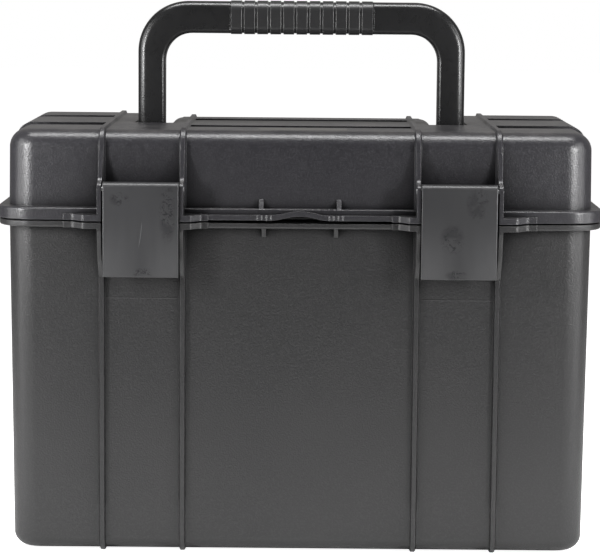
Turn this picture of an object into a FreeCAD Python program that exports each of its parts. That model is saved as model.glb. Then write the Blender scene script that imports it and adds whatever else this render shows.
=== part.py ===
import FreeCAD, Part
import math
import os

# Hard carrying case: moulded tub and lid, rear hinges, two front latches,
# raised top handle and foam interior.
# Frame: X to the right, Y to the back, Z up, origin on the ground under the
# middle of the case.  Millimetres.  HALF_X and HALF_Y are half sizes about
# the origin; a trailing 0 or 1 marks the lower or upper end of a range.

os.makedirs("parts", exist_ok=True)
Vector = FreeCAD.Vector

# ------------------------------------------------- dimensions shared by pieces
WALL = 3.2
CORNER_R = 18.0

TUB_Z0, TUB_Z1 = 1.2, 222.8
TUB_HALF_X0, TUB_HALF_X1 = 190.9, 192.9
TUB_HALF_Y0, TUB_HALF_Y1 = 103.8, 105.5
TUB_EDGE_R = 9.5

LID_Z0, LID_Z1 = 223.9, 282.0
LID_HALF_X0, LID_HALF_X1 = 193.0, 192.4
LID_HALF_Y0, LID_HALF_Y1 = 105.7, 105.1
LID_EDGE_R = 12.0

# rims, with a recessed middle stretch between the latches
RIM_HALF_X, RIM_HALF_Y, RIM_R = 200.0, 114.5, 24.0
MID_HALF_X = 76.2
FLARE_Y = -123.5

# ribs that run around tub and lid
RIB_X = (77.1, 130.3)
RIB_OUT = 3.2
RIB_TOP = 1.8
RIB_SINK = 0.4
RIB_HALF_TIP, RIB_HALF_ROOT = 1.4, 2.4

# plates beside each latch, as X ranges
EAR_OUTER = (129.4, 132.2)
EAR_INNER = (76.0, 78.6)
LATCH_PIVOT_Y, LATCH_PIVOT_Z = -118.5, 244.5
LATCH_PIN_R = 1.6

# each rear hinge: one lid knuckle between two tub knuckles
HINGE_Y, HINGE_Z = 120.3, 223.3
KNUCKLE_R = 5.2
HINGE_PIN_R = 2.0
TUB_KNUCKLE, LID_KNUCKLE, KNUCKLE_GAP = 11.0, 26.0, 0.4
HINGE_X0 = 79.6
POCKET_X0 = HINGE_X0 + TUB_KNUCKLE
LID_KNUCKLE_X0 = POCKET_X0 + KNUCKLE_GAP
LID_KNUCKLE_X1 = LID_KNUCKLE_X0 + LID_KNUCKLE
POCKET_X1 = LID_KNUCKLE_X1 + KNUCKLE_GAP
HINGE_X1 = POCKET_X1 + TUB_KNUCKLE

HANDLE_PIVOT_Y, HANDLE_PIVOT_Z = -7.0, 271.0
HANDLE_PIN_R = 3.0
HANDLE_PIN_X = (86.0, 121.0)
PIN_CLEARANCE = 0.05

SEAL_HALF_X, SEAL_HALF_Y = 195.4, 108.4

# badge plate on the lid top
BADGE_X0, BADGE_X1, BADGE_Y0, BADGE_Y1 = -28.0, 31.0, -91.5, -67.5
BADGE_SEAT_Z = LID_Z1 - 0.5
BADGE_GAP = 0.1


# -------------------------------------------------------------------- helpers
# An outline is a list of (u, v, radius) corners; a corner without a radius
# stays sharp.

def unit(u, v):
    length = math.hypot(u, v)
    return u / length, v / length


def rounded_wire(outline, place):
    """Closed wire of an outline; place turns (u, v) into a 3-D point."""
    count = len(outline)
    turns = []  # start, middle and end of the arc at each corner
    for i, (u, v, *given) in enumerate(outline):
        radius = given[0] if given else 0
        if radius <= 0:
            turns.append(((u, v), None, (u, v)))
            continue
        before, after = outline[i - 1], outline[(i + 1) % count]
        back = unit(before[0] - u, before[1] - v)
        ahead = unit(after[0] - u, after[1] - v)
        dot = back[0] * ahead[0] + back[1] * ahead[1]
        half_angle = math.acos(max(-1, min(1, dot))) / 2
        inward = unit(back[0] + ahead[0], back[1] + ahead[1])
        tangent = radius / math.tan(half_angle)
        depth = radius / math.sin(half_angle) - radius
        turns.append(tuple((u + way[0] * step, v + way[1] * step) for way, step in
                           ((back, tangent), (inward, depth), (ahead, tangent))))
    edges = []
    for i, (start, middle, end) in enumerate(turns):
        if middle is not None:
            edges.append(Part.Arc(place(*start), place(*middle), place(*end)).toShape())
        line_start, line_end = place(*end), place(*turns[(i + 1) % count][0])
        if line_start.distanceToPoint(line_end) > 1e-6:
            edges.append(Part.makeLine(line_start, line_end))
    return Part.Wire(edges)


def plan(outline, z0, z1):
    """Prism along Z of an (x, y) outline."""
    wire = rounded_wire(outline, lambda x, y: Vector(x, y, z0))
    return Part.Face(wire).extrude(Vector(0, 0, z1 - z0))


def side(outline, x0, x1):
    """Prism along X of a (y, z) outline."""
    wire = rounded_wire(outline, lambda y, z: Vector(x0, y, z))
    return Part.Face(wire).extrude(Vector(x1 - x0, 0, 0))


def front(outline, y0, y1):
    """Prism along Y of an (x, z) outline."""
    wire = rounded_wire(outline, lambda x, z: Vector(x, y0, z))
    return Part.Face(wire).extrude(Vector(0, y1 - y0, 0))


def box(x0, x1, y0, y1, z0, z1):
    return Part.makeBox(x1 - x0, y1 - y0, z1 - z0, Vector(x0, y0, z0))


def rectangle(x0, x1, y0, y1, radius):
    return [(x0, y0, radius), (x1, y0, radius), (x1, y1, radius), (x0, y1, radius)]


def slab(half_x, half_y, radius, z0, z1):
    return plan(rectangle(-half_x, half_x, -half_y, half_y, radius), z0, z1)


def rounded_frustum(bottom, top, corner_radius, end_radius, end_z):
    """Drafted box between two (half_x, half_y, z), with the end at end_z rounded."""
    wires = []
    for half_x, half_y, level in (bottom, top):
        outline = rectangle(-half_x, half_x, -half_y, half_y, corner_radius)
        wires.append(rounded_wire(outline, lambda x, y, z=level: Vector(x, y, z)))
    frustum = Part.makeLoft(wires, True, True)
    return frustum.makeFillet(end_radius, edges_at(frustum, z=end_z))


def cylinder_x(x0, x1, y, z, radius):
    return Part.makeCylinder(radius, x1 - x0, Vector(x0, y, z), Vector(1, 0, 0))


def cylinder_z(x, y, z0, z1, radius):
    return Part.makeCylinder(radius, z1 - z0, Vector(x, y, z0), Vector(0, 0, 1))


def lies_at(edge, **planes):
    """True if every end of the edge has the given coordinates."""
    return all(abs(getattr(vertex.Point, axis) - value) < 1e-4
               for vertex in edge.Vertexes for axis, value in planes.items())


def edges_at(shape, **planes):
    return [edge for edge in shape.Edges if lies_at(edge, **planes)]


def uprights_at(shape, y):
    return [edge for edge in edges_at(shape, y=y)
            if abs(edge.Vertexes[0].Point.z - edge.Vertexes[1].Point.z) > 1]


def mirrored(shape):
    return shape.mirror(Vector(0, 0, 0), Vector(1, 0, 0))


def both(shape):
    return [shape, mirrored(shape)]


def joined(shapes):
    return shapes[0].multiFuse(shapes[1:])


def cut_each(shape, tools):
    for tool in tools:
        shape = shape.cut(tool)
    return shape


def export(shape, name):
    if not shape.isValid():
        shape.fix(1e-4, 1e-4, 1e-4)
    if len(shape.Solids) == 1 and shape.ShapeType == "Compound":
        shape = shape.Solids[0]
    shape.exportStep("parts/" + name + ".step")


def export_pair(shape, name):
    export(shape, name + "_right")
    export(mirrored(shape), name + "_left")


# ---------------------------------------------- features shared by tub and lid
def rib(x, root, tip):
    """Tapered rib around (y, z) outlines: wide at the wall, narrow at the crest."""
    sections = ((-RIB_HALF_ROOT, root), (-RIB_HALF_TIP, tip),
                (RIB_HALF_TIP, tip), (RIB_HALF_ROOT, root))
    wires = [rounded_wire(outline, lambda y, z, offset=offset: Vector(x + offset, y, z))
             for offset, outline in sections]
    return Part.makeLoft(wires, True, True)


def rim_flares(z0, z1):
    """Lips of the rim that flare forward beside each latch."""
    root_y = -RIM_HALF_Y + 6
    face_y = -RIM_HALF_Y - 1.0
    outer_x, inner_x = EAR_OUTER[0] + 0.6, EAR_INNER[1] - 0.6
    outer = plan([(outer_x, root_y), (155.0, root_y), (155.0, face_y, 0.6),
                  (148.4, face_y, 4.0), (141.6, FLARE_Y, 3.5), (outer_x, FLARE_Y)],
                 z0, z1)
    inner = plan([(60.0, root_y), (inner_x, root_y), (inner_x, FLARE_Y),
                  (71.2, FLARE_Y, 2.0), (64.8, face_y, 3.0), (60.0, face_y, 0.6)],
                 z0, z1)
    return both(outer) + both(inner)


def ear_plates(outline):
    plates = []
    for x0, x1 in (EAR_OUTER, EAR_INNER):
        plates += both(side(outline, x0, x1))
    return plates


# ------------------------------------------------------------------------ tub
TUB_RIM_Z0 = 218.9
TUB_RIM_INSET = 0.9  # shorter than the lid rim at each end
TUB_RIM_EDGE_R = 1.3
MID_TUB_Z1 = 222.4

# (y, z, radius): from the flared lips down to the rib crest
TUB_EAR = [(-100, TUB_Z1), (FLARE_Y, TUB_Z1), (FLARE_Y, 217.0, 2),
           (-119.0, 200.0, 25), (-107.6, 184.0, 8), (-100, 184.0)]
TUB_TICK = [(-100, 212.6), (-106.6, 212.6), (-112.8, 219.5), (-100, 219.5)]
TUB_TICK_X, TUB_TICK_HALF = 23.7, 1.4
TUB_HINGE_WEB = [(108.0, 206.0), (112.0, 206.0),
                 (HINGE_Y + KNUCKLE_R * 0.6, HINGE_Z - KNUCKLE_R * 0.8),
                 (HINGE_Y, TUB_Z1), (108.0, TUB_Z1)]
TUB_HINGE_HEEL = [(100.0, 200.0), (106.5, 200.0), (114.0, 212.0, 4),
                  (114.0, 219.5), (100.0, 219.5)]


def tub_rib(x):
    def outline(out, down, radius):
        low_y, high_y, z = TUB_HALF_Y0 + out, TUB_HALF_Y1 + out, TUB_Z0 - down
        return [(-low_y, z, radius), (low_y, z, radius),
                (high_y, TUB_Z1), (-high_y, TUB_Z1)]
    return rib(x, outline(-RIB_SINK, -RIB_SINK, TUB_EDGE_R - RIB_SINK),
               outline(RIB_OUT, TUB_Z0, TUB_EDGE_R + 1))


def tub_rim():
    rim = slab(RIM_HALF_X - TUB_RIM_INSET, RIM_HALF_Y, RIM_R, TUB_RIM_Z0, TUB_Z1)
    rim = rim.cut(box(-MID_HALF_X, MID_HALF_X, -130, -TUB_HALF_Y1 - 1,
                      MID_TUB_Z1, TUB_Z1 + 1))
    return rim.makeFillet(TUB_RIM_EDGE_R, edges_at(rim, z=TUB_RIM_Z0))


def tub_knuckles():
    parts = []
    for x0, x1 in ((HINGE_X0, POCKET_X0), (POCKET_X1, HINGE_X1)):
        knuckle = cylinder_x(x0, x1, HINGE_Y, HINGE_Z, KNUCKLE_R)
        web = side(TUB_HINGE_WEB, x0, x1).common(box(x0, x1, 100, 130, 200, TUB_Z1))
        heel = side(TUB_HINGE_HEEL, x0, x1)
        for shape in (knuckle, web, heel):
            parts += both(shape)
    return parts


def make_tub():
    parts = [rounded_frustum((TUB_HALF_X0, TUB_HALF_Y0, TUB_Z0),
                             (TUB_HALF_X1, TUB_HALF_Y1, TUB_Z1),
                             CORNER_R, TUB_EDGE_R, TUB_Z0)]
    for x in RIB_X:
        parts += both(tub_rib(x))
    parts += [tub_rim()] + rim_flares(TUB_RIM_Z0, TUB_Z1)
    parts += ear_plates(TUB_EAR)
    for sign in (-1, 1):
        x = sign * TUB_TICK_X
        parts.append(side(TUB_TICK, x - TUB_TICK_HALF, x + TUB_TICK_HALF))
    parts += tub_knuckles()
    tub = joined(parts).removeSplitter()

    # the cavity runs past the rim so that the top is open
    floor_z = TUB_Z0 + WALL
    tub = tub.cut(rounded_frustum(
        (TUB_HALF_X0 - WALL, TUB_HALF_Y0 - WALL, floor_z),
        (TUB_HALF_X1 - WALL + 0.02, TUB_HALF_Y1 - WALL + 0.02, TUB_Z1 + 2.0),
        CORNER_R - WALL, TUB_EDGE_R - WALL, floor_z))
    tub = cut_each(tub, both(cylinder_x(HINGE_X0 - 2, HINGE_X1 + 2, HINGE_Y, HINGE_Z,
                                        HINGE_PIN_R)))
    # the lid knuckle turns in its own pocket between the tub knuckles
    tub = cut_each(tub, both(box(POCKET_X0, POCKET_X1, RIM_HALF_Y, 130, 205, 235)))
    return tub.removeSplitter()


export(make_tub(), "base_shell")

# ------------------------------------------------------------------- lid body
# grooves across the lid top, as Y ranges
GROOVE_D = 3.0
GROOVE_END_R = 5.0
SIDE_GROOVES = ((-49.0, -29.0), (32.5, 52.5))
MID_GROOVES = ((-60.0, -43.0), (13.0, 31.0))
SIDE_GROOVE_X = 131.2
MID_GROOVE_HALF_X = 76.2

# raised pads on the side edges, behind each side groove's front edge
PAD_X0, PAD_X1 = SIDE_GROOVE_X - 1.7, LID_HALF_X1 + 2.9
PAD_Z1 = LID_Z1 + 0.5
PAD_Y1 = 93.0

# trough around a rounded middle block, closed by a lower wall at the back
TROUGH_X0, TROUGH_X1 = 92.5, 114.5
TROUGH_Y0, TROUGH_Y1 = -19.0, 89.6
TROUGH_FLOOR = 258.0
TROUGH_CORNER_R = 24.0
BLOCK_Y0, BLOCK_Y1 = -150, 61.5
BLOCK_CORNER_R = 18.0
BLOCK_EDGE_R = 8.0
REAR_WALL_Z = 273.8
REAR_WALL_HALF_X = 116.0


def outer_rounded(x0, x1, y0, y1, front_radius, back_radius):
    """Plan rectangle with only the corners at x1 rounded."""
    return [(x0, y0), (x1, y0, front_radius), (x1, y1, back_radius), (x0, y1)]


def lid_body():
    body = rounded_frustum((LID_HALF_X0, LID_HALF_Y0, LID_Z0),
                           (LID_HALF_X1, LID_HALF_Y1, LID_Z1),
                           CORNER_R, LID_EDGE_R, LID_Z1)
    # what lies under the groove floors
    core = rounded_frustum(
        (LID_HALF_X0 - GROOVE_D, LID_HALF_Y0 - GROOVE_D, LID_Z0),
        (LID_HALF_X1 - GROOVE_D, LID_HALF_Y1 - GROOVE_D, LID_Z1 - GROOVE_D),
        CORNER_R - GROOVE_D, LID_EDGE_R - GROOVE_D, LID_Z1 - GROOVE_D)
    (front_y0, front_y1), (rear_y0, rear_y1) = SIDE_GROOVES

    for y0, y1, radius in ((front_y1 - 2, rear_y0 + 2, 0), (rear_y1 - 2, PAD_Y1, 10.0)):
        pad = front([(PAD_X0, 270.0), (170.0, 270.0), (170.0, 256.5),
                     (LID_HALF_X1 - 0.6, 256.5), (PAD_X1, 266.0, 8.0),
                     (PAD_X1, PAD_Z1, LID_EDGE_R), (PAD_X0, PAD_Z1)], y0, y1)
        pad = pad.common(plan(outer_rounded(120, PAD_X1 + 2, y0 - 1, y1, 0, radius),
                              240, 300))
        for shape in both(pad):
            body = body.fuse(shape)

    # side grooves wrap over the rounded edge, between lands left standing
    zone = front([(SIDE_GROOVE_X, 300), (SIDE_GROOVE_X, 272), (184, 254), (215, 254),
                  (215, 300)], -120, 120)
    lands = [plan(outer_rounded(SIDE_GROOVE_X - 5, LID_HALF_X0 + 4.0, *land), 240, 310)
             for land in ((-160, front_y0, 0, GROOVE_END_R),
                          (front_y1, rear_y0, GROOVE_END_R, GROOVE_END_R),
                          (rear_y1, 160, GROOVE_END_R, 0))]
    body = cut_each(body, both(zone.cut(joined(lands)).cut(core)))

    for y0, y1 in MID_GROOVES:
        groove = side([(y0, 250.0), (y1, 250.0), (y1 + 1.2, 290.0), (y0 - 1.2, 290.0)],
                      -MID_GROOVE_HALF_X, MID_GROOVE_HALF_X)
        body = body.cut(groove.cut(core))
    return body.cut(box(-REAR_WALL_HALF_X, REAR_WALL_HALF_X, BLOCK_Y1 + 1, 120,
                        REAR_WALL_Z, 300))


def lid_rib(x, stepped):
    """Rib over the lid; a stepped one drops to the low wall behind the block."""
    def outline(out, up, edge_radius, step_radius):
        low_y, high_y, z = LID_HALF_Y0 + out, LID_HALF_Y1 + out, LID_Z1 + up
        feet = [(-low_y, LID_Z0), (low_y, LID_Z0)]
        if not stepped:
            return feet + [(high_y, z, edge_radius), (-high_y, z, edge_radius)]
        step_y, step_z = BLOCK_Y1 + 8, REAR_WALL_Z + up
        return feet + [(high_y, step_z, step_radius), (step_y, step_z), (step_y, z),
                       (-high_y, z, edge_radius)]
    return rib(x, outline(-RIB_SINK, -RIB_SINK, LID_EDGE_R - RIB_SINK, 3.0),
               outline(RIB_OUT, RIB_TOP, LID_EDGE_R + 2, 5.0))


# -------------------------------------------------------- lid rim and fittings
LID_RIM_Z1 = 231.8
LID_FLARE_Z1 = 227.9
MID_LIP_Z0, MID_LIP_Z1 = 224.4, 227.7
MID_LIP_BACK_Y = -104
MID_BAND_Y, MID_BAND_Z1 = -111.0, 231.5
ARCH_HALF_X, ARCH_RISE = 19.0, 2.7
# fractions of the half width and of the rise
ARCH_POINTS = ((-1, 0), (-0.62, 0.34), (-0.3, 0.86), (0, 1),
               (0.3, 0.86), (0.62, 0.34), (1, 0))

LIP_BUMP_X, LIP_BUMP_Y, LIP_BUMP_R = (20.6, 26.6), -112.6, 2.8
LID_TICK = [(-100, 231.5), (-110.4, 231.5), (-106.2, 237.5), (-100, 237.5)]
LID_TICK_X, LID_TICK_HALF = 25.5, 1.5
LID_EAR = [(-100, LID_Z0), (FLARE_Y, LID_Z0), (FLARE_Y, 249.0, 4.6),
           (-114.5, 249.0, 6), (-107.4, 272.0, 5), (-100, 272.0)]
LID_HINGE_WEB = [(108.0, LID_Z0), (HINGE_Y, LID_Z0),
                 (HINGE_Y + KNUCKLE_R * 0.6, HINGE_Z + KNUCKLE_R * 0.8),
                 (HINGE_Y, HINGE_Z + KNUCKLE_R), (112.0, 237.0), (106.5, 244.0),
                 (100.0, 244.0), (100.0, LID_Z0)]


def thumb_arch(edge_z, flat_z, y0, y1):
    """Shallow arch over edge_z, closed by a flat bottom at flat_z."""
    curve = Part.BSplineCurve()
    curve.interpolate([Vector(x * ARCH_HALF_X, y0, edge_z + rise * ARCH_RISE)
                       for x, rise in ARCH_POINTS],
                      InitialTangent=Vector(1, 0, 0.02),
                      FinalTangent=Vector(1, 0, -0.02))
    left, right = Vector(-ARCH_HALF_X, y0, edge_z), Vector(ARCH_HALF_X, y0, edge_z)
    low_left, low_right = Vector(left.x, y0, flat_z), Vector(right.x, y0, flat_z)
    wire = Part.Wire([curve.toShape(), Part.makeLine(right, low_right),
                      Part.makeLine(low_right, low_left), Part.makeLine(low_left, left)])
    return Part.Face(wire).extrude(Vector(0, y1 - y0, 0))


def lid_rim():
    """Rim, plus the band and lip that replace it between the latches."""
    rim = slab(RIM_HALF_X, RIM_HALF_Y, RIM_R, LID_Z0, LID_RIM_Z1)
    rim = rim.makeFillet(1.6, edges_at(rim, z=LID_RIM_Z1))
    rim = rim.cut(box(-MID_HALF_X, MID_HALF_X, -130, -100, 200, 240))
    band = box(-MID_HALF_X, MID_HALF_X, MID_BAND_Y, -100, MID_LIP_Z0, MID_BAND_Z1)
    band = band.makeFillet(0.8, edges_at(band, z=MID_BAND_Z1, y=MID_BAND_Y))
    lip = box(-MID_HALF_X, MID_HALF_X, -RIM_HALF_Y, MID_LIP_BACK_Y,
              MID_LIP_Z0, MID_LIP_Z1)
    lip = lip.fuse(thumb_arch(MID_LIP_Z1, MID_LIP_Z1 - 0.5, -RIM_HALF_Y, MID_LIP_BACK_Y))
    return [rim, band, lip]


def lid_fittings():
    parts = []
    for sign in (-1, 1):
        for x in LIP_BUMP_X:
            parts.append(cylinder_z(sign * x, LIP_BUMP_Y, MID_LIP_Z0, MID_LIP_Z1,
                                    LIP_BUMP_R))
        x = sign * LID_TICK_X
        parts.append(side(LID_TICK, x - LID_TICK_HALF, x + LID_TICK_HALF))
    parts += ear_plates(LID_EAR)
    parts += both(cylinder_x(LID_KNUCKLE_X0, LID_KNUCKLE_X1, HINGE_Y, HINGE_Z,
                             KNUCKLE_R))
    parts += both(side(LID_HINGE_WEB, LID_KNUCKLE_X0, LID_KNUCKLE_X1))
    return parts


# ----------------------------------------------------------- lid cuts and lid
LID_CEILING_Z = 275.4
PIN_BOSS_R = 6.5
PIN_BOSS_X = ((83.0, TROUGH_X0 - 1), (TROUGH_X1 + 1, 124.0))


def lid_trough():
    """Trough for the folded handle: a box minus the rounded middle block."""
    trough = box(-TROUGH_X1, TROUGH_X1, TROUGH_Y0, TROUGH_Y1, TROUGH_FLOOR, 300)
    trough = trough.makeFillet(TROUGH_CORNER_R, uprights_at(trough, TROUGH_Y1))
    block = box(-TROUGH_X0, TROUGH_X0, BLOCK_Y0, BLOCK_Y1, 240, LID_Z1)
    block = block.makeFillet(BLOCK_CORNER_R, uprights_at(block, BLOCK_Y1))
    top_edges = [edge for edge in edges_at(block, z=LID_Z1)
                 if not lies_at(edge, y=BLOCK_Y0)]
    block = block.makeFillet(BLOCK_EDGE_R, top_edges)
    # keeps the trough from cutting anything above the block's flat top
    keep = box(-TROUGH_X0 + BLOCK_EDGE_R, TROUGH_X0 - BLOCK_EDGE_R, BLOCK_Y0,
               BLOCK_Y1 - BLOCK_EDGE_R, LID_Z1 - 2, 301)
    return trough.cut(block).cut(keep)


def lid_hollow():
    """Space inside the lid, leaving the trough walls and pin bosses."""
    inside = rounded_frustum(
        (LID_HALF_X0 - WALL, LID_HALF_Y0 - WALL, LID_Z0 - 3),
        (LID_HALF_X1 - WALL, LID_HALF_Y1 - WALL, LID_CEILING_Z),
        CORNER_R - WALL, 9.0, LID_CEILING_Z)
    deck = TROUGH_FLOOR - WALL
    block_back = BLOCK_Y1 - WALL
    under_block = box(-TROUGH_X0 + WALL, TROUGH_X0 - WALL, -120, block_back,
                      deck - 1, 300)
    under_block = under_block.makeFillet(BLOCK_CORNER_R - 1.0,
                                         uprights_at(under_block, block_back))
    zones = [box(-210, 210, -120, 120, 200, deck),
             box(-210, 210, -120, TROUGH_Y0 - WALL, deck - 1, 300),
             box(TROUGH_X1 + WALL, 210, -120, 120, deck - 1, 300),
             box(-210, -TROUGH_X1 - WALL, -120, 120, deck - 1, 300),
             under_block]
    hollow = inside.common(joined(zones))
    # the side grooves and their floor keep a full wall underneath
    backing = []
    for y0, y1 in SIDE_GROOVES:
        backing += both(box(182.0, 200, y0 - 12, y1 + 12, deck, 300))
    hollow = hollow.cut(joined(backing))
    bosses = []
    for x0, x1 in PIN_BOSS_X:
        bosses += both(cylinder_x(x0, x1, HANDLE_PIVOT_Y, HANDLE_PIVOT_Z, PIN_BOSS_R))
    return hollow.cut(joined(bosses))


def seal_ring(half_width, outer_radius, inner_radius, z0, z1):
    outer = slab(SEAL_HALF_X + half_width, SEAL_HALF_Y + half_width, outer_radius,
                 z0, z1)
    return outer.cut(slab(SEAL_HALF_X - half_width, SEAL_HALF_Y - half_width,
                          inner_radius, z0 - 1, z1 + 1))


def make_lid():
    parts = [lid_body()]
    for x, stepped in zip(RIB_X, (True, False)):
        parts += both(lid_rib(x, stepped))
    parts += lid_rim() + rim_flares(LID_Z0, LID_FLARE_Z1) + lid_fittings()
    lid = joined(parts).removeSplitter()

    lid = lid.cut(thumb_arch(MID_LIP_Z0, MID_LIP_Z0 - 1.5, -RIM_HALF_Y - 2, -109.9))
    lid = lid.cut(lid_trough())
    lid = lid.cut(lid_hollow())
    for hole in (
            cylinder_x(*HANDLE_PIN_X, HANDLE_PIVOT_Y, HANDLE_PIVOT_Z, HANDLE_PIN_R),
            cylinder_x(75.0, 133.0, LATCH_PIVOT_Y, LATCH_PIVOT_Z, LATCH_PIN_R),
            cylinder_x(LID_KNUCKLE_X0 - 1, LID_KNUCKLE_X1 + 1, HINGE_Y, HINGE_Z,
                       HINGE_PIN_R + PIN_CLEARANCE)):
        lid = cut_each(lid, both(hole))
    # seal channel in the underside of the rim
    lid = lid.cut(seal_ring(1.7, 20.0, 18.0, 222, 226.9))
    lid = lid.cut(box(BADGE_X0, BADGE_X1, BADGE_Y0, BADGE_Y1, BADGE_SEAT_Z, 290))
    return lid.removeSplitter()


export(make_lid(), "lid_shell")
export(plan(rectangle(BADGE_X0 + BADGE_GAP, BADGE_X1 - BADGE_GAP,
                      BADGE_Y0 + BADGE_GAP, BADGE_Y1 - BADGE_GAP, 1.0),
            BADGE_SEAT_Z, LID_Z1 + 0.1), "badge_plate")
export(seal_ring(1.3, 19.5, 18.5, 224.5, 226.7), "lid_seal")

# ----------------------------------------------------------------------- pins
export_pair(cylinder_x(HINGE_X0, HINGE_X1, HINGE_Y, HINGE_Z, HINGE_PIN_R), "hinge_pin")
export_pair(cylinder_x(*HANDLE_PIN_X, HANDLE_PIVOT_Y, HANDLE_PIVOT_Z, HANDLE_PIN_R),
            "handle_pin")
export_pair(cylinder_x(EAR_INNER[0] - 0.3, EAR_OUTER[1] + 0.3,
                       LATCH_PIVOT_Y, LATCH_PIVOT_Z, LATCH_PIN_R), "latch_pin")

# -------------------------------------------------------------------- latches
LATCH_X0, LATCH_X1 = 79.0, 128.4
LATCH_MID_X = (LATCH_X0 + LATCH_X1) / 2
LATCH_Z0, LATCH_Z1 = 187.4, 249.3
LATCH_FRONT_Y, LATCH_BACK_Y = -125.5, -122.5
LATCH_ROOT_Y = LATCH_BACK_Y - 0.5  # parts on the back start inside the plate
LATCH_BARREL_R = 4.8
LATCH_CROWN_R = 1500.0
HOOK_INSET = 5
STIFFENER_INSET, STIFFENER_W = 1.2, 1.8


def make_latch():
    plate = side([(LATCH_FRONT_Y, LATCH_Z0, 0.9), (LATCH_FRONT_Y, LATCH_Z1, 4.0),
                  (LATCH_PIVOT_Y, LATCH_Z1), (LATCH_PIVOT_Y, LATCH_Z1 - 3.0),
                  (LATCH_BACK_Y, 240.0), (LATCH_BACK_Y, LATCH_Z0, 0.9)],
                 LATCH_X0, LATCH_X1)
    # slightly crowned front face
    plate = plate.common(cylinder_z(LATCH_MID_X, LATCH_FRONT_Y + LATCH_CROWN_R,
                                    160, 280, LATCH_CROWN_R))
    barrel = cylinder_x(LATCH_X0, LATCH_X1, LATCH_PIVOT_Y, LATCH_PIVOT_Z,
                        LATCH_BARREL_R)
    hook = side([(LATCH_ROOT_Y, 207.5), (LATCH_ROOT_Y, 217.5), (-117.6, 217.5),
                 (-117.6, 218.5, 0.4), (-114.8, 218.5, 0.6), (-114.8, 209.5, 1.2),
                 (-117.0, 207.5, 1.2)], LATCH_X0 + HOOK_INSET, LATCH_X1 - HOOK_INSET)
    stiffeners = [side([(LATCH_ROOT_Y, 189.5), (LATCH_ROOT_Y, 236.0),
                        (-119.5, 232.0), (-119.5, 191.5)], x, x + STIFFENER_W)
                  for x in (LATCH_X0 + STIFFENER_INSET,
                            LATCH_MID_X - STIFFENER_W / 2,
                            LATCH_X1 - STIFFENER_INSET - STIFFENER_W)]
    latch = joined([plate, barrel, hook] + stiffeners).removeSplitter()
    latch = latch.cut(cylinder_x(LATCH_X0 - 1, LATCH_X1 + 1, LATCH_PIVOT_Y,
                                 LATCH_PIVOT_Z, LATCH_PIN_R + PIN_CLEARANCE))
    uprights = []
    for edge in latch.Edges:
        ends = [vertex.Point for vertex in edge.Vertexes]
        if (len(ends) == 2 and all(end.y < LATCH_FRONT_Y + 1.4 for end in ends)
                and abs(ends[0].x - ends[1].x) < 1e-3
                and abs(ends[0].z - ends[1].z) > 20):
            uprights.append(edge)
    # guards the front upright fillet: if it fails, the edges stay sharp
    try:
        return latch.makeFillet(0.8, uprights)
    except Exception:
        return latch


export_pair(make_latch(), "latch_plate")

# --------------------------------------------------------------------- handle
LEG_X0, LEG_X1 = 94.1, 112.6
HANDLE_T = 22.0
HANDLE_Y0, HANDLE_Y1 = HANDLE_PIVOT_Y - HANDLE_T / 2, HANDLE_PIVOT_Y + HANDLE_T / 2
LEG_Z0 = HANDLE_PIVOT_Z - HANDLE_T / 2
LEG_END_R = 10.9
BAR_Z0, BAR_Z1 = 343.6, 365.4
HANDLE_OUTER_R, HANDLE_INNER_R = 34.5, 19.0
GRIP_HALF_X = 48.8
GRIP_OVER = 0.6   # grip surface outside the bar
GRIP_NECK = 1.4   # depth of the bar's neck under the grip
GRIP_GROOVES, GRIP_PITCH, GRIP_GROOVE_W, GRIP_GROOVE_D = 10, 9.0, 1.8, 0.8


def bar_prism(offset, half_x):
    """Length of the bar's section, grown outward by offset."""
    y0, y1 = HANDLE_Y0 - offset, HANDLE_Y1 + offset
    z0, z1 = BAR_Z0 - offset, BAR_Z1 + offset
    low_radius, top_radius = 5.0 + offset, 7.5 + offset
    return side([(y0, z0, low_radius), (y1, z0, low_radius),
                 (y1, z1, top_radius), (y0, z1, top_radius)], -half_x, half_x)


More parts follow.
